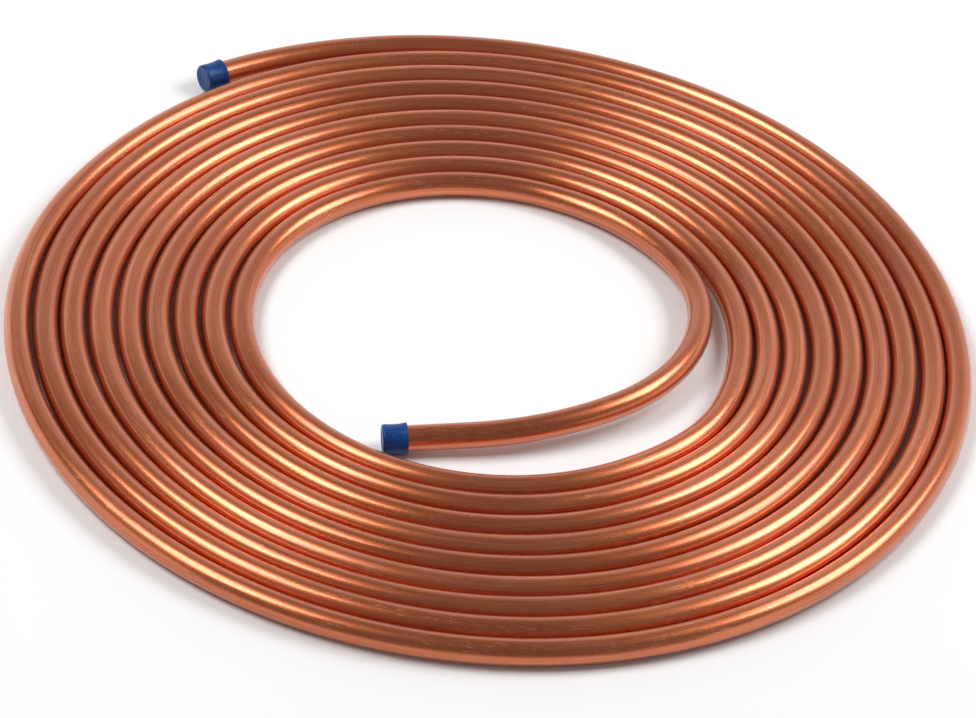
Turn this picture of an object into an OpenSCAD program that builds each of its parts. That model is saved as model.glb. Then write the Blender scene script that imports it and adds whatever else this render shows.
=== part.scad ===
// Flat coil of soft copper tube lying on the floor, both ends closed by
// push-on caps. Millimetres, +Z up, floor at z = 0.

/* [Tube] */
// outside diameter of the tube
tube_diameter = 12; // [9:0.5:16]
// wall thickness of the tube
tube_wall = 1; // [0.6:0.1:1.6]

/* [Coil] */
// centre-line radius of the outermost turn
coil_radius = 227; // [180:1:290]
// free gap between one turn and the next
turn_gap = 1.1; // [0.3:0.1:4]
// whole turns between the outer end and the loose inner end
whole_turns = 9; // [3:1:10]
// sweep of the outer end, where it opens away from the next turn
open_sweep = 39; // [20:1:50]
// bend of the outer end, as a share of the coil radius
open_share = 1.008; // [1:0.002:1.1]

/* [Loose inner end] */
// angle at which the tube leaves the innermost turn
leave_angle = 35; // [10:1:60]
// first bend, radius as a share of the eye
bend_a_share = 0.77; // [0.6:0.01:1.1]
// second bend, radius as a share of the eye
bend_b_share = 0.89; // [0.5:0.01:1.2]
// second bend, sweep
bend_b_sweep = 52; // [30:1:70]
// last bend, radius as a share of the eye
bend_c_share = 1.52; // [1:0.02:3]
// last bend, sweep
bend_c_sweep = 27; // [10:1:40]
// straight run from the last bend to the cap, as a share of the eye
run_share = 0.28; // [0.05:0.01:0.5]
// height of the loose end above the coil where it turns back
tail_lift = 4.5; // [3:0.5:9]

/* [Caps] */
// length of a cap
cap_length = 11.5; // [10:0.5:20]
// wall of a cap at its waist
cap_wall = 0.75; // [0.6:0.05:2]
// extra wall at the open rim
cap_flare = 0.45; // [0.1:0.05:1]
// extra wall at the closed end
cap_swell = 0.15; // [0:0.05:0.4]
// thickness of the closed end
cap_floor = 1.5; // [1:0.1:3]
// rounding of the closed end
cap_round = 1.1; // [0.4:0.1:1.2]
// room between tube and cap, all round
cap_fit = 0.05; // [0.02:0.01:0.2]

/* [View] */
// piece to draw

/* [Hidden] */
section_fn = 48;
path_fn = 144;
function short(v) = round(v * 100) / 100;
function dir(a) = [cos(a), sin(a)];
// a small tilt whose cosine has six decimals, which keeps joints exact
function tilt_of(sine) = acos(round(sqrt(1 - sine * sine) * 1e6) / 1e6);
tube_r = tube_diameter / 2;
bore_r = tube_r - tube_wall;
turn_pitch = tube_diameter + turn_gap;
shift = turn_pitch / 2;

// caps: a straight end of the tube stands in each one, and a bend this
// wide is straight over such a length
straight_r = 20000;
function straight_angle(length) = length / straight_r * 180 / PI;
function straight_sweep(length) = round(straight_angle(length) * 10000) / 10000;
grip = cap_length - cap_floor - 0.1;
cap_bore = tube_r + cap_fit;
cap_r = cap_bore + cap_wall;
end_r = cap_r + cap_swell;
rim_r = cap_r + cap_flare;

// outer end: level arcs in a plane tilted about the top of the first
// turn, so that the rim of the cap stands on the floor
open_r = short(coil_radius * open_share);
open_c = [0, coil_radius - open_r];
open_a = 90 + open_sweep;
open_run_c = open_c + (open_r - straight_r) * dir(open_a);
open_p = open_c + open_r * dir(open_a);
open_tilt = tilt_of((rim_r - tube_r) / (coil_radius - open_p.y));

// loose inner end: every length follows the room inside the eye
leave_r = coil_radius - whole_turns * turn_pitch;
eye_r = leave_r + shift - rim_r - tube_r;
a_r = short(eye_r * bend_a_share);
b_r = short(eye_r * bend_b_share);
c_r = short(eye_r * bend_c_share);
run_length = eye_r * run_share;
b_a = -bend_b_sweep;
c_a = b_a - bend_c_sweep;
a_c = (leave_r - a_r) * dir(leave_angle);
b_c = a_c + (a_r - b_r) * dir(0);
c_c = b_c + (b_r - c_r) * dir(b_a);
run_c = c_c + (c_r - straight_r) * dir(c_a);
// where it runs straight back, and where its cap begins
back_p = a_c + a_r * dir(0);
rim_a = c_a - straight_angle(run_length);
tail_p = run_c + straight_r * dir(rim_a);
foot_p = tail_p + (cap_length - cap_round) * dir(rim_a - 90);
// first tilt lifts it, second tilt brings the cap down to the floor
lift_tilt = tilt_of(tail_lift / (leave_r - back_p.y));
foot_rise = end_r + 0.1 - tube_r;
drop_tilt = tilt_of(
  ((leave_r - foot_p.y) * sin(lift_tilt) - foot_rise)
  / ((back_p.x - foot_p.x) * cos(lift_tilt)));

// move by a vector in a coarse, a middle and a fine step
module put(v) {
  coarse = [for (s = v) round(s)];
  middle = [for (i = [0 : len(v) - 1]) round((v[i] - coarse[i]) * 1000) / 1000];
  translate(coarse) translate(middle) translate(v - coarse - middle) children();
}

// bend of tube about a centre, from one angle back to a lower one; the
// section turns against the tilt of its plane, so that joints match
module bend(centre, radius, high, low, lift = 0, drop = 0) {
  put([centre.x, centre.y, 0])
    rotate_extrude(angle = high - low, start = low, $fn = path_fn)
      translate([radius, 0])
        rotate(-drop) rotate(lift)
          difference() {
            circle(r = tube_r, $fn = section_fn);
            circle(r = bore_r, $fn = section_fn);
          }
}

// planes of the two ends, each holding flat arcs about the coil's centre
module outer_plane() {
  translate([0, coil_radius, 0])
    rotate([-open_tilt, 0, 0])
      translate([0, -coil_radius, 0]) children();
}

module lift_plane() {
  translate([0, leave_r, 0])
    rotate([-lift_tilt, 0, 0])
      translate([0, -leave_r, 0]) children();
}

module drop_plane() {
  lift_plane()
    put([back_p.x, back_p.y, 0])
      rotate([0, -drop_tilt, 0])
        put([-back_p.x, -back_p.y, 0]) children();
}

// half turns, their centres half a pitch apart, make the spiral
module winding() {
  bend([0, 0], coil_radius, 90, 0);
  for (i = [1 : whole_turns - 1])
    bend([0, 0], coil_radius - i * turn_pitch, 180, 0);
  for (i = [0 : whole_turns - 1])
    bend([shift, 0], coil_radius - shift - i * turn_pitch, 360, 180);
  bend([0, 0], leave_r, 180, 90);
}

module outer_end() {
  outer_plane() {
    bend(open_c, open_r, open_a, 90, open_tilt);
    bend(open_run_c, straight_r, open_a + straight_sweep(grip), open_a, open_tilt);
  }
}

module inner_end() {
  lift_plane() {
    bend([0, 0], leave_r, 90, leave_angle, lift_tilt);
    bend(a_c, a_r, leave_angle, 0, lift_tilt);
  }
  drop_plane() {
    bend(b_c, b_r, 0, b_a, lift_tilt, drop_tilt);
    bend(c_c, c_r, b_a, c_a, lift_tilt, drop_tilt);
    bend(run_c, straight_r, c_a, c_a - straight_sweep(run_length + grip), lift_tilt, drop_tilt);
  }
}

// the origin is below the middle of the coil, on the floor
module in_frame() {
  translate([-shift, -shift / 2, tube_r]) children();
}

module copper_tube() {
  color([0.76, 0.47, 0.36]) in_frame() {
    winding();
    outer_end();
    inner_end();
  }
}

// cap along +z from its open rim: bored, flared and rounded
module cap() {
  edge_z = cap_length - cap_round;
  edge_r = end_r - cap_round;
  rotate_extrude($fn = 96)
    difference() {
      union() {
        polygon([
          [0, 0],
          [rim_r - 0.3, 0],
          [rim_r, 0.3],
          [rim_r, 0.9],
          [cap_r + 0.15, 2.8],
          [cap_r, 5.5],
          [cap_r + 0.02, 7],
          [end_r, edge_z],
          [edge_r, edge_z],
          [edge_r, cap_length],
          [0, cap_length]
        ]);
        intersection() {
          translate([edge_r, edge_z]) circle(r = cap_round, $fn = 48);
          translate([0, edge_z]) square([rim_r, cap_round]);
        }
      }
      translate([-1, -1]) square([cap_bore + 1, cap_length - cap_floor + 1]);
      translate([-20, -1]) square([20, cap_length + 2]);
    }
}

// cap with its rim at a point of the plane, pointing along a heading
module cap_at(point, heading) {
  color([0.08, 0.29, 0.55])
    put([point.x, point.y, 0])
      rotate([0, 0, heading])
        rotate([0, 90, 0]) cap();
}

module cap_outer_end() {
  in_frame() outer_plane() cap_at(open_p, open_a + 90);
}

module cap_inner_end() {
  in_frame() drop_plane() cap_at(tail_p, rim_a - 90);
}

copper_tube();
cap_outer_end();
cap_inner_end();
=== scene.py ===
import bpy
import numpy as np
from math import radians, degrees, sin, cos, asin, pi
from mathutils import Matrix, Vector


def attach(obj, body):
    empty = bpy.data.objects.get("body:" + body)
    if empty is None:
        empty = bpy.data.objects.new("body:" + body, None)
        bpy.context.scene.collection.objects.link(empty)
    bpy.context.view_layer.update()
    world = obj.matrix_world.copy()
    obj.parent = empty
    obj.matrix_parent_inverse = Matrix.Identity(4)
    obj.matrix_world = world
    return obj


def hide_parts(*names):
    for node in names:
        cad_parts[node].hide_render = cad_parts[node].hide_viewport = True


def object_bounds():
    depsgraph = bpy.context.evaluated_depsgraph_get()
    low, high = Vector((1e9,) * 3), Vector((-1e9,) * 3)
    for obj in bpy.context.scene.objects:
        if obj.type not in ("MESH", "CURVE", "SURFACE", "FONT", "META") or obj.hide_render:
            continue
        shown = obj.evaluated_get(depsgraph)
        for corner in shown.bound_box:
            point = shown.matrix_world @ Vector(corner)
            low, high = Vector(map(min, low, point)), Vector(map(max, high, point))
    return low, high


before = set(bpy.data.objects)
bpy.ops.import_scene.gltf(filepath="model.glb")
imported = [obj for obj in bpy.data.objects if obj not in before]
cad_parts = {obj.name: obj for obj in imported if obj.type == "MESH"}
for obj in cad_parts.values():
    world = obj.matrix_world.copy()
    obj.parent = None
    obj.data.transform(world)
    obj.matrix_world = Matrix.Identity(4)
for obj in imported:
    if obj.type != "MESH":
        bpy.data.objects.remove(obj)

cad_low, cad_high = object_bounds()

# ---------------------------------------------------------------- sizes
# The part's own sizes, in millimetres and degrees, as its source has them.
MM = 0.001
TUBE_R, WALL = 6.0, 1.0
COIL_R, PITCH, TURNS = 227.0, 13.1, 9
SHIFT = PITCH / 2
OPEN_A, OPEN_R = 129.0, 228.82
LEAVE_A, LEAVE_R = 35.0, COIL_R - TURNS * PITCH
CAP_L, CAP_FLOOR, CAP_ROUND = 11.5, 1.5, 1.1
CAP_FIT, CAP_WALL, CAP_SWELL, CAP_FLARE = 0.05, 0.75, 0.15, 0.45
CAP_BORE = TUBE_R + CAP_FIT
CAP_R = CAP_BORE + CAP_WALL
END_R = CAP_R + CAP_SWELL
RIM_R = CAP_R + CAP_FLARE
CLEAR = 0.1
GRIP = CAP_L - CAP_FLOOR - CLEAR
EYE_R = LEAVE_R + SHIFT - RIM_R - TUBE_R
A_SHARE, B_SHARE, C_SHARE, RUN_SHARE = 0.77, 0.89, 1.52, 0.28
A_R, B_R, C_R = (round(EYE_R * share, 2) for share in (A_SHARE, B_SHARE, C_SHARE))
RUN = EYE_R * RUN_SHARE
B_A, C_A = -52.0, -79.0
STRAIGHT_R = 20000.0
TAIL_LIFT = 4.5

# How finely the tube is drawn, and how deep its bore goes at each end.
STEP, SIDES, BORE_DEEP = 5.2, 36, 30.0


def way(angle):
    """The direction at an angle, in the plane of the coil."""
    return np.array([cos(radians(angle)), sin(radians(angle))])


def small(run):
    """The angle that a length takes up on one of the nearly straight arcs."""
    return degrees(run / STRAIGHT_R)


# ---------------------------------------------------------------- route
# Centres of the arcs, in the plane of the coil. Letters a, b and c are the
# three bends of the loose end, from the innermost turn to the cap.
open_c = np.array([0.0, COIL_R - OPEN_R])
open_run_c = open_c + (OPEN_R - STRAIGHT_R) * way(OPEN_A)
open_p = open_c + OPEN_R * way(OPEN_A)
open_tilt = asin((RIM_R - TUBE_R) / (COIL_R - open_p[1]))
a_c = (LEAVE_R - A_R) * way(LEAVE_A)
b_c = a_c + (A_R - B_R) * way(0)
c_c = b_c + (B_R - C_R) * way(B_A)
run_c = c_c + (C_R - STRAIGHT_R) * way(C_A)
back_p = a_c + A_R * way(0)
RIM_A = C_A - small(RUN)
tail_p = run_c + STRAIGHT_R * way(RIM_A)
foot_p = tail_p + (CAP_L - CAP_ROUND) * way(RIM_A - 90)
lift_tilt = asin(TAIL_LIFT / (LEAVE_R - back_p[1]))
drop_tilt = asin(((LEAVE_R - foot_p[1]) * sin(lift_tilt) - (END_R + CLEAR - TUBE_R))
                 / ((back_p[0] - foot_p[0]) * cos(lift_tilt)))


def in_plane(points, plane):
    """Takes points of one of the tilted planes into the row's frame, in millimetres."""
    p = np.array(points, float)
    if plane == "drop":
        dx = p[:, 0] - back_p[0]
        z = p[:, 2].copy()
        p[:, 0] = back_p[0] + dx * cos(drop_tilt) - z * sin(drop_tilt)
        p[:, 2] = z * cos(drop_tilt) + dx * sin(drop_tilt)
    if plane != "flat":
        tilt = open_tilt if plane == "outer" else lift_tilt
        y0 = COIL_R if plane == "outer" else LEAVE_R
        dy, z = p[:, 1] - y0, p[:, 2].copy()
        p[:, 1] = y0 + dy * cos(tilt) + z * sin(tilt)
        p[:, 2] = z * cos(tilt) - dy * sin(tilt)
    return p + [-SHIFT, -SHIFT / 2, TUBE_R]


# Each arc has its plane, centre, radius, first angle and last angle.
zero, side = np.zeros(2), np.array([SHIFT, 0.0])
ARCS = [("outer", open_run_c, STRAIGHT_R, OPEN_A + small(GRIP), OPEN_A),
        ("outer", open_c, OPEN_R, OPEN_A, 90.0),
        ("flat", zero, COIL_R, 90.0, 0.0)]
for turn in range(TURNS):
    if turn:
        ARCS.append(("flat", zero, COIL_R - turn * PITCH, 180.0, 0.0))
    ARCS.append(("flat", side, COIL_R - SHIFT - turn * PITCH, 360.0, 180.0))
ARCS += [("flat", zero, LEAVE_R, 180.0, 90.0),
         ("lift", zero, LEAVE_R, 90.0, LEAVE_A),
         ("lift", a_c, A_R, LEAVE_A, 0.0),
         ("drop", b_c, B_R, 0.0, B_A),
         ("drop", c_c, C_R, B_A, C_A),
         ("drop", run_c, STRAIGHT_R, C_A, C_A - small(RUN + GRIP))]


def distances(path):
    """How far along a path each of its points lies."""
    return np.r_[0, np.cumsum(np.linalg.norm(np.diff(path, axis=0), axis=1))]


route, wound = [], 0
for n, (plane, c, r, high, low) in enumerate(ARCS):
    count = max(2, int(round(radians(high - low) * r / STEP)))
    a = np.radians(np.linspace(high, low, count + 1))[(1 if n else 0):]
    flat = np.stack([c[0] + r * np.cos(a), c[1] + r * np.sin(a), 0 * a], 1)
    route.append(in_plane(flat, plane))
    if low >= 90 or plane == "flat":
        wound += len(flat)
route = np.concatenate(route)
length = distances(route)

# ---------------------------------------------------------------- hand
# Soft tube wound by hand is never a true spiral: the whole coil is a
# little oval, the outer turns step in at one side, the innermost ones
# step out at another, and each turn wanders a few tenths. A step has its
# size, the angle that it is widest at and the angle that it fades over,
# and a wander has its size, its length and its phase. The two ends keep
# their true place. Depth is 0 at the outermost turn and 1 at the innermost.
OVAL, OVAL_AT = 1.5, 35.0
OUTER_SHIFT, INNER_GAIN = -0.2, 0.9
STEP_IN, STEP_OUT = (-2.3, 152.0, 24.0), (2.6, 330.0, 17.0)
WANDERS = ((0.08, 37.0, 0.0), (0.07, 61.0, 2.0), (0.1, 143.0, 1.0))
LIFT, LIFT_EVERY = 0.12, 83.0
FADE_IN, FADE_OUT, PAST_LAST = 420.0, 170.0, 60.0


def ease(x):
    """A smooth rise from 0 to 1."""
    x = np.clip(x, 0, 1)
    return x * x * (3 - 2 * x)


def hump(angle, step):
    """A step's size at an angle round the coil."""
    size, middle, width = step
    d = (angle - middle + 180) % 360 - 180
    return size * np.exp(-(d / width) ** 2)


polar = np.degrees(np.arctan2(route[:, 1], route[:, 0])) % 360
out_r = np.hypot(route[:, 0], route[:, 1])
depth = np.clip((COIL_R - out_r) / (COIL_R - LEAVE_R), 0, 1)
drift = OUTER_SHIFT + INNER_GAIN * ease(depth / 0.5)
drift += OVAL * np.cos(np.radians(2 * (polar - OVAL_AT)))
drift += hump(polar, STEP_IN) * np.clip(1 - (depth - 0.08) / 0.8, 0, 1)
drift += hump(polar, STEP_OUT) * np.clip(1 - (0.96 - depth) / 0.4, 0, 1)
for size, every, phase in WANDERS:
    drift += size * np.sin(length / every + phase)
held = ease(length / FADE_IN) * ease((length[wound - 1] + PAST_LAST - length) / FADE_OUT)
route[:, :2] += (route[:, :2] / out_r[:, None]) * (drift * held)[:, None]
route[:, 2] += held * LIFT * (1 + np.sin(length / LIFT_EVERY))
route *= MM


# ---------------------------------------------------------------- tube
STRIPS = 16
# The width that one band of an end takes up in the UV maps.
EDGE = 0.004


def across(path):
    """The level and the upright direction square to a path, at each point."""
    d = np.gradient(path, axis=0)
    d /= np.linalg.norm(d, axis=1)[:, None]
    out = np.cross(d, [0, 0, 1.0])
    out /= np.linalg.norm(out, axis=1)[:, None]
    return out, np.cross(d, out)


def corners(*values):
    """One row for each face, with a value for each of its four corners."""
    return np.stack(values, -1).reshape(-1, 4)


def paired(u, v):
    """UV pairs, a row for each corner."""
    return np.stack([u, v], -1).reshape(-1, 2)


def outside(n, sides, s, girth):
    """The faces of the tube's outside, with both of their UV maps."""
    k = np.arange(sides)
    k2 = (k + 1) % sides
    rows = np.arange(n - 1)[:, None]
    j = rows * sides
    faces = corners(j + k, j + k2, j + sides + k2, j + sides + k)
    near, far = s[:-1, None] + 0 * k, s[1:, None] + 0 * k
    low, high = k * girth + 0.0 * j, (k + 1) * girth + 0.0 * j
    along = paired(corners(near, near, far, far), corners(low, high, high, low))
    per = -(-(n - 1) // STRIPS)
    u0 = 0.004 + 0.992 * (rows % per) / per + 0 * k
    u1 = u0 + 0.992 / per
    v0 = (rows // per + 0.04 + 0.92 * k / sides) / (STRIPS + 1)
    v1 = v0 + 0.92 / sides / (STRIPS + 1)
    laid = paired(corners(u0, u0, u1, u1), corners(v0, v1, v1, v0))
    return faces, along, laid


def inside(end, rim, base, s_end, sides, girth):
    """The faces of one end: the cut edge, the bore and the bore's floor, which is a fan."""
    k = np.arange(sides)
    k2 = (k + 1) % sides
    middle = base + 2 * sides + 0 * k
    bands = [(rim + k, base + k, base + k2, rim + k2),
             (base + k, base + sides + k, base + sides + k2, base + k2),
             (base + sides + k, middle, middle, base + sides + k2)]
    faces, along, laid = [], [], []
    for m, band in enumerate(bands):
        f = corners(*band)
        g = corners(k * girth, k * girth, (k + 1) * girth, (k + 1) * girth)
        if end:
            f, g = f[:, ::-1], g[:, ::-1]
        step = corners(*(np.full(sides, EDGE * (m + far)) for far in (0, 1, 1, 0)))
        row = (STRIPS + 0.06 + 0.85 * g / (girth * sides)) / (STRIPS + 1)
        faces.append(f)
        along.append(paired(step + s_end, g))
        laid.append(paired(0.01 + 0.3 * end + 0.09 * m + 20 * step, row))
    return faces, along, laid


def tube_mesh(name, path, radius, bore, sides, deep):
    """A tube along a path, hollow for a length at each end.

    The UV map "along" holds metres along the tube and round it. "OFBake" lays
    the outside out as stacked strips, with the two ends in a row above them.
    """
    out, over = across(path)
    n, s = len(path), distances(path)
    t = np.linspace(0, 2 * pi, sides, endpoint=False) - pi / 2
    ring = (np.cos(t)[None, :, None] * out[:, None, :]
            + np.sin(t)[None, :, None] * over[:, None, :])
    girth = 2 * pi * radius / sides
    verts = [(path[:, None, :] + radius * ring).reshape(-1, 3)]
    faces, along, laid = ([part] for part in outside(n, sides, s, girth))
    base = n * sides
    for end, (edge, inward) in enumerate(((0, 1), (n - 1, -1))):
        foot = edge + inward * max(1, int(deep / STEP / MM))
        verts += [path[edge] + bore * ring[edge], path[foot] + bore * ring[foot], path[foot][None, :]]
        parts = inside(end, edge * sides, base, s[edge], sides, girth)
        for kept, more in zip((faces, along, laid), parts):
            kept += more
        base += 2 * sides + 1
    verts, faces, along, laid = (np.concatenate(part) for part in (verts, faces, along, laid))
    lists, picked = [], []
    for i, f in enumerate(faces.tolist()):
        keep = [0, 1, 3] if f[1] == f[2] else [0, 1, 2, 3]
        lists.append([f[c] for c in keep])
        picked += [4 * i + c for c in keep]
    me = bpy.data.meshes.new(name)
    me.from_pydata(verts.tolist(), [], lists)
    for layer, uv in (("along", along), ("OFBake", laid)):
        me.uv_layers.new(name=layer).data.foreach_set("uv", uv[picked].astype("f").ravel())
    smooth = np.zeros(len(lists), bool)
    smooth[:(n - 1) * sides] = True
    me.polygons.foreach_set("use_smooth", smooth)
    me.update()
    return me


def add(me):
    """Puts a mesh in the scene as an object of the same name."""
    o = bpy.data.objects.new(me.name, me)
    bpy.context.scene.collection.objects.link(o)
    return o


def turned_out(me):
    """Turns a closed mesh's faces outward if its volume is negative."""
    co = np.empty(len(me.vertices) * 3)
    me.vertices.foreach_get("co", co)
    co = co.reshape(-1, 3)
    me.calc_loop_triangles()
    tri = np.array([t.vertices[:] for t in me.loop_triangles])
    volume = np.einsum("ij,ij->i", co[tri[:, 0]], np.cross(co[tri[:, 1]], co[tri[:, 2]])).sum()
    if volume < 0:
        me.flip_normals()
    return me


bright = tube_mesh("tube_bright", route, TUBE_R * MM, (TUBE_R - WALL) * MM, SIDES, BORE_DEEP * MM)
tube = add(turned_out(bright))
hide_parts("copper_tube")
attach(tube, "root")

# ---------------------------------------------------------------- caps
# The cap's half outline as radius and height, from the floor of its bore,
# down the bore, round the rim, up the waist, and over the closed end with
# its shallow moulded ring.
SEAT = CAP_L - CAP_FLOOR
BORE_LINE = [(0, SEAT), (CAP_BORE - 0.4, SEAT), (CAP_BORE, SEAT - 0.4), (CAP_BORE, 4),
             (CAP_BORE, 0.3), (CAP_BORE + 0.1, 0.08), (CAP_BORE + 0.3, 0)]
RIM_LINE = [(RIM_R - 0.35, 0), (RIM_R - 0.12, 0.08), (RIM_R, 0.3), (RIM_R, 0.65), (RIM_R - 0.04, 1.0)]
WAIST_LINE = [(CAP_R + 0.26, 1.9), (CAP_R + 0.13, 2.9), (CAP_R + 0.04, 4.1), (CAP_R, 5.3), (CAP_R, 6.2),
              (CAP_R + 0.03, 7.3), (CAP_R + 0.08, 8.6), (END_R - 0.01, 9.8), (END_R, CAP_L - CAP_ROUND)]
CORNER = [(END_R - CAP_ROUND * (1 - cos(radians(a))), CAP_L - CAP_ROUND * (1 - sin(radians(a))))
          for a in range(15, 90, 15)]
END_LINE = [(END_R - CAP_ROUND, CAP_L), (5.2, CAP_L - 0.01), (4.95, CAP_L - 0.14), (4.3, CAP_L - 0.16),
            (4.1, CAP_L - 0.03), (3.8, CAP_L - 0.03), (3.6, CAP_L - 0.16), (1.7, CAP_L - 0.18),
            (0, CAP_L - 0.18)]
PROFILE = BORE_LINE + RIM_LINE + WAIST_LINE + CORNER + END_LINE
CAP_SIDES = 72
UNTRUE, RIM_SOFT = 0.035, 2.0


def cap_mesh(name, seat, heading, sides, phase):
    """A moulded cap turned about the tube's end, its rim at the seat, a few hundredths out of true."""
    w = np.array(heading) / np.linalg.norm(heading)
    x = np.cross([0, 0, 1.0], w)
    x /= np.linalg.norm(x)
    y = np.cross(w, x)
    t = np.linspace(0, 2 * pi, sides, endpoint=False)
    verts, lists, rows = [], [], []
    for r, z in PROFILE:
        if r == 0:
            rows.append([len(verts)])
            verts.append(seat + w * z * MM)
            continue
        off = 0.0 if r <= CAP_BORE else UNTRUE
        wave = off * (np.sin(3 * t + phase + z / 4) + 0.5 * np.sin(7 * t + 2 * phase - z / 3))
        lift = (off * 1.5 if z < RIM_SOFT else 0.0) * np.sin(2 * t + phase)
        rows.append(list(range(len(verts), len(verts) + sides)))
        for a, dr, dz in zip(t, wave, lift):
            verts.append(seat + ((r + dr) * (np.cos(a) * x + np.sin(a) * y) + (z + dz) * w) * MM)
    for lower, upper in zip(rows, rows[1:]):
        for i in range(sides):
            i2 = (i + 1) % sides
            if len(lower) == 1:
                lists.append([lower[0], upper[i], upper[i2]])
            elif len(upper) == 1:
                lists.append([lower[i], upper[0], lower[i2]])
            else:
                lists.append([lower[i], upper[i], upper[i2], lower[i2]])
    me = bpy.data.meshes.new(name)
    me.from_pydata([tuple(v) for v in verts], [], lists)
    me.shade_smooth()
    me.update()
    return me


def on_run(centre, angle, plane):
    """A point of one of the nearly straight runs at the tube's ends."""
    return in_plane([[*(centre + STRAIGHT_R * way(angle)), 0]], plane)[0]


ends = {"cap_outer_end": (on_run(open_run_c, OPEN_A, "outer"),
                          on_run(open_run_c, OPEN_A + small(CAP_L), "outer")),
        "cap_inner_end": (on_run(run_c, RIM_A, "drop"),
                          on_run(run_c, RIM_A - small(CAP_L), "drop"))}
caps = []
for name, (seat, tip) in ends.items():
    piece = name.replace("cap_", "vinyl_cap_")
    o = add(turned_out(cap_mesh(piece, seat * MM, tip - seat, CAP_SIDES, 1.0 + 2 * len(caps))))
    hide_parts(name)
    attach(o, "root")
    caps.append(o)


# ---------------------------------------------------------------- nodes
class Shader:
    """Short names for the nodes a material is written with."""

    def __init__(self, name):
        self.material = bpy.data.materials.new(name)
        self.material.use_nodes = True
        self.tree = self.material.node_tree
        self.surface = self.tree.nodes["Principled BSDF"]

    def node(self, kind, **settings):
        n = self.tree.nodes.new(kind)
        for key, value in settings.items():
            setattr(n, key, value)
        return n

    def put(self, socket, value):
        if isinstance(value, bpy.types.NodeSocket):
            self.tree.links.new(value, socket)
        else:
            socket.default_value = value

    def finish(self, **values):
        """Sets the surface's sockets, named with _ for each space."""
        for key, value in values.items():
            self.put(self.surface.inputs[key.replace("_", " ")], value)
        return self.material

    def maths(self, operation, a, b=0.0):
        n = self.node("ShaderNodeMath", operation=operation)
        self.put(n.inputs[0], a)
        self.put(n.inputs[1], b)
        return n.outputs[0]

    def vector(self, x, y, z):
        n = self.node("ShaderNodeCombineXYZ")
        for socket, value in zip(n.inputs, (x, y, z)):
            self.put(socket, value)
        return n.outputs[0]

    def noise(self, where, scale, detail=2.0, rough=0.5, warp=0.0):
        n = self.node("ShaderNodeTexNoise")
        self.put(n.inputs["Vector"], where)
        settings = {"Scale": scale, "Detail": detail, "Roughness": rough, "Distortion": warp}
        for key, value in settings.items():
            n.inputs[key].default_value = value
        return n.outputs["Fac"]

    def band(self, value, low, high, to_low=0.0, to_high=1.0):
        """A smooth step: to_low where the value is below low, to_high where it is above high."""
        n = self.node("ShaderNodeMapRange", interpolation_type="SMOOTHSTEP")
        settings = {"From Min": low, "From Max": high, "To Min": to_low, "To Max": to_high}
        self.put(n.inputs["Value"], value)
        for key, v in settings.items():
            n.inputs[key].default_value = v
        return n.outputs["Result"]

    def mix(self, share, a, b):
        n = self.node("ShaderNodeMix", data_type="RGBA")
        self.put(n.inputs["Factor"], share)
        for socket, value in ((n.inputs[6], a), (n.inputs[7], b)):
            self.put(socket, value if isinstance(value, bpy.types.NodeSocket) else (*value, 1))
        return n.outputs[2]

    def bump(self, height, distance, below=None):
        n = self.node("ShaderNodeBump")
        n.inputs["Distance"].default_value = distance
        n.inputs["Strength"].default_value = 1.0
        self.put(n.inputs["Height"], height)
        if below is not None:
            self.put(n.inputs["Normal"], below)
        return n.outputs["Normal"]


# ---------------------------------------------------------------- copper
PINK, ORANGE, AGED = (0.82, 0.25, 0.108), (0.81, 0.225, 0.078), (0.60, 0.15, 0.048)
BROWN, LINE, HAIRLINE = (0.50, 0.118, 0.042), (0.48, 0.11, 0.042), (0.38, 0.09, 0.038)
SCUFFED = (0.95, 0.56, 0.42)


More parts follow.
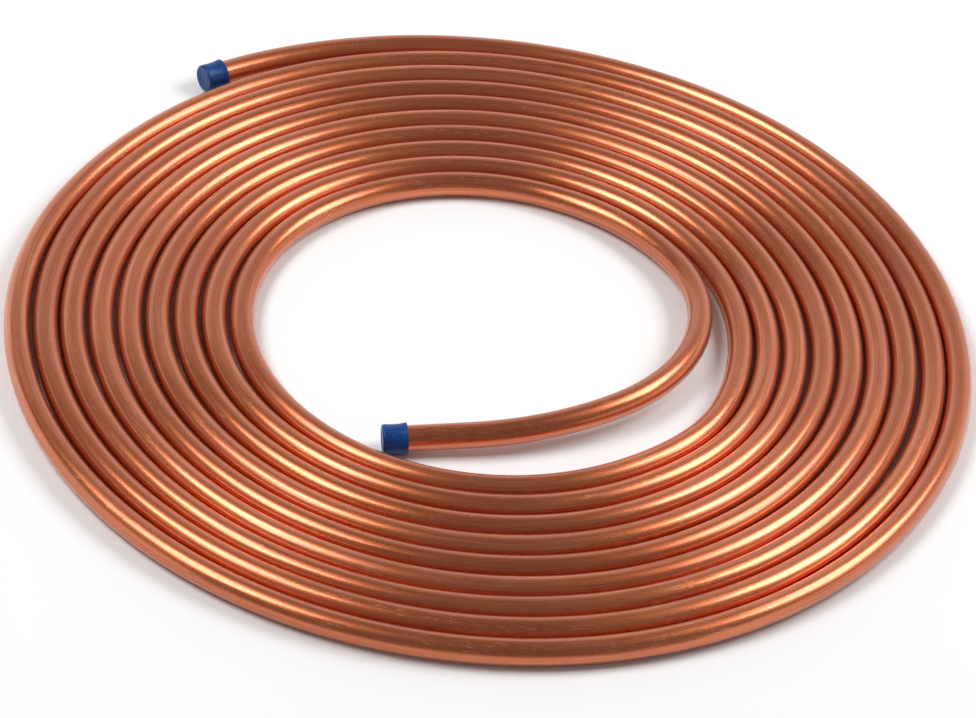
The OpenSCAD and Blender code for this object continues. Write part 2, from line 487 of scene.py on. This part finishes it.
def copper():
    """Bright drawn copper: lines and streaks along the tube, slow ageing and small scuffs."""
    m = Shader("copper")
    uv = m.node("ShaderNodeUVMap", uv_map="along")
    split = m.node("ShaderNodeSeparateXYZ")
    m.put(split.inputs[0], uv.outputs["UV"])
    run = split.outputs[0]
    around = m.maths("DIVIDE", split.outputs[1], TUBE_R * MM)
    ring_x = m.maths("COSINE", around)
    ring_y = m.maths("SINE", around)

    def drawn(along_mm, round_mm, seed=0.0):
        """Coordinates whose noise cells are this long along the tube and this wide round it."""
        k = TUBE_R / round_mm
        return m.vector(m.maths("ADD", m.maths("MULTIPLY", run, 1 / MM / along_mm), seed),
                        m.maths("MULTIPLY", ring_x, k), m.maths("MULTIPLY", ring_y, k))

    hairlines = m.noise(drawn(26, 0.22), 1.0, 2.0, 0.6)
    lines = m.noise(drawn(90, 0.75, 7.0), 1.0, 3.0, 0.6)
    streaks = m.noise(drawn(160, 3.2, 3.0), 1.0, 3.0, 0.55, 0.2)
    clouds = m.noise(drawn(28, 9.0, 21.0), 1.0, 3.0, 0.55, 0.4)
    ageing = m.noise(drawn(380, 30.0, 51.0), 1.0, 3.0, 0.6)
    lumps = m.noise(drawn(24, 8.0, 5.0), 1.0, 1.0, 0.4)
    grain = m.noise(drawn(0.7, 0.5, 11.0), 1.0, 2.0, 0.6)
    marks = m.noise(drawn(4.5, 0.5, 31.0), 1.0, 2.0, 0.55, 1.0)
    handled = m.noise(drawn(60, 7.0, 43.0), 1.0, 2.0, 0.5)

    brown = m.band(streaks, 0.46, 0.70)
    scuffs = m.maths("MULTIPLY", m.band(marks, 0.60, 0.68), m.band(handled, 0.50, 0.62))
    colour = m.mix(m.band(clouds, 0.35, 0.65), PINK, ORANGE)
    colour = m.mix(m.band(ageing, 0.40, 0.60, 0.0, 0.75), colour, AGED)
    colour = m.mix(m.maths("MULTIPLY", brown, 0.55), colour, BROWN)
    colour = m.mix(m.band(lines, 0.48, 0.62, 0.0, 0.7), colour, LINE)
    colour = m.mix(m.band(hairlines, 0.50, 0.64, 0.0, 0.5), colour, HAIRLINE)
    colour = m.mix(m.maths("MULTIPLY", scuffs, 0.3), colour, SCUFFED)
    rough = m.maths("ADD", m.band(lines, 0.3, 0.7, 0.25, 0.34), m.maths("MULTIPLY", brown, 0.08))
    rough = m.maths("ADD", rough, m.band(grain, 0.3, 0.7, -0.03, 0.03))
    rough = m.maths("ADD", rough, m.maths("MULTIPLY", scuffs, 0.12))
    scored = m.maths("ADD", m.maths("MULTIPLY", lines, 0.6), m.maths("MULTIPLY", hairlines, 0.25))
    relief = m.bump(lumps, 0.12 * MM)
    relief = m.bump(scored, 0.03 * MM, relief)
    relief = m.bump(m.maths("SUBTRACT", m.maths("MULTIPLY", grain, 0.2), scuffs), 0.005 * MM, relief)
    lengthwise = m.node("ShaderNodeTangent", direction_type="UV_MAP", uv_map="along")
    return m.finish(Base_Color=colour, Roughness=rough, Normal=relief, Tangent=lengthwise.outputs[0],
                    Metallic=0.93, Anisotropic=0.45, Anisotropic_Rotation=0.25,
                    Coat_Weight=0.85, Coat_Roughness=0.16, Coat_IOR=1.5)


tube.data.materials.append(copper())


# ---------------------------------------------------------------- vinyl
def vinyl():
    """Soft blue vinyl with a fine orange peel, uneven gloss and a little dust."""
    m = Shader("blue_vinyl")
    place = m.node("ShaderNodeTexCoord").outputs["Object"]
    soft = m.noise(place, 260.0, 2.0, 0.5)
    peel = m.noise(place, 1900.0, 3.0, 0.6)
    dust = m.noise(place, 3600.0, 1.0, 0.5)
    colour = m.mix(m.band(soft, 0.3, 0.7), (0.001, 0.036, 0.165), (0.002, 0.055, 0.23))
    colour = m.mix(m.band(dust, 0.70, 0.76, 0.0, 0.35), colour, (0.16, 0.26, 0.42))
    return m.finish(Base_Color=colour, Roughness=m.band(peel, 0.3, 0.7, 0.30, 0.42),
                    Specular_IOR_Level=0.32,
                    Normal=m.bump(peel, 0.03 * MM, m.bump(soft, 0.25 * MM)))


blue = vinyl()
for o in caps:
    o.data.materials.append(blue)

# ---------------------------------------------------------------- floor
FLOOR_HALF = 6.0
me = bpy.data.meshes.new("floor")
square = [(-1, -1), (1, -1), (1, 1), (-1, 1)]
me.from_pydata([(FLOOR_HALF * x, FLOOR_HALF * y, 0) for x, y in square], [], [(0, 1, 2, 3)])
floor = add(me)
white = Shader("floor_white").finish(Base_Color=(0.96, 0.96, 0.96, 1), Roughness=0.9, Specular_IOR_Level=0.1)
floor.data.materials.append(white)

# ---------------------------------------------------------------- camera
# It looks down on the coil from the front, rolled a little, at a point
# just in front of the coil's middle.
LENS, SENSOR = 132.492, 36.0
EL, ROLL, DISTANCE = radians(39.18), radians(6.645), 1.67459
AIM_X, AIM_Y = -0.00012, -0.02145

middle = (Vector(cad_low) + Vector(cad_high)) / 2
target = Vector((middle.x + AIM_X, middle.y + AIM_Y, 0))
back = Vector((0, -cos(EL), sin(EL)))
right = Vector((1, 0, 0))
up = back.cross(right)
rolled_right = cos(ROLL) * right + sin(ROLL) * up
rolled_up = cos(ROLL) * up - sin(ROLL) * right
cam_data = bpy.data.cameras.new("camera")
cam_data.sensor_width, cam_data.lens = SENSOR, LENS
cam_data.clip_start, cam_data.clip_end = 0.05, 50
cam = bpy.data.objects.new("camera", cam_data)
pose = Matrix((rolled_right, rolled_up, back)).transposed().to_4x4()
pose.translation = target + back * DISTANCE
cam.matrix_world = pose
bpy.context.scene.collection.objects.link(cam)
bpy.context.scene.camera = cam

# ---------------------------------------------------------------- light
# Two softboxes, a white wall behind the table in two heights, and low
# walls beside it. Each has its azimuth, elevation, distance, size and
# radiance.
WORLD = 0.19
SOFTBOXES = {"left": (192, 58, 1.8, (1.05, 0.75), 7.0),
             "right": (18, 47, 1.8, (1.05, 0.75), 7.0),
             "wall_back": (90, 16, 2.6, (6.5, 1.35), 0.62),
             "wall_back_high": (90, 39, 2.6, (6.0, 1.0), 0.32),
             "wall_left": (180, 9, 2.6, (4.2, 0.75), 0.8),
             "wall_right": (0, 9, 2.6, (4.2, 0.75), 0.8)}


def softbox(name, azimuth, elevation, distance, size, radiance):
    """A rectangular light that faces the middle of the floor."""
    a, el = radians(azimuth), radians(elevation)
    d = Vector((cos(a) * cos(el), sin(a) * cos(el), sin(el)))
    light = bpy.data.lights.new(name, "AREA")
    light.shape = "RECTANGLE"
    light.size, light.size_y = size
    light.energy = radiance * pi * size[0] * size[1]
    o = bpy.data.objects.new(name, light)
    o.matrix_world = Matrix.Translation(d * distance) @ d.to_track_quat("Z", "Y").to_matrix().to_4x4()
    bpy.context.scene.collection.objects.link(o)


for name, settings in SOFTBOXES.items():
    softbox(name, *settings)

world = bpy.data.worlds.new("studio")
bpy.context.scene.world = world
world.use_nodes = True
sky = world.node_tree.nodes["Background"]
sky.inputs["Color"].default_value = (1, 1, 1, 1)
sky.inputs["Strength"].default_value = WORLD

bpy.context.scene.view_settings.view_transform = "Standard"
bpy.context.scene.view_settings.look = "None"
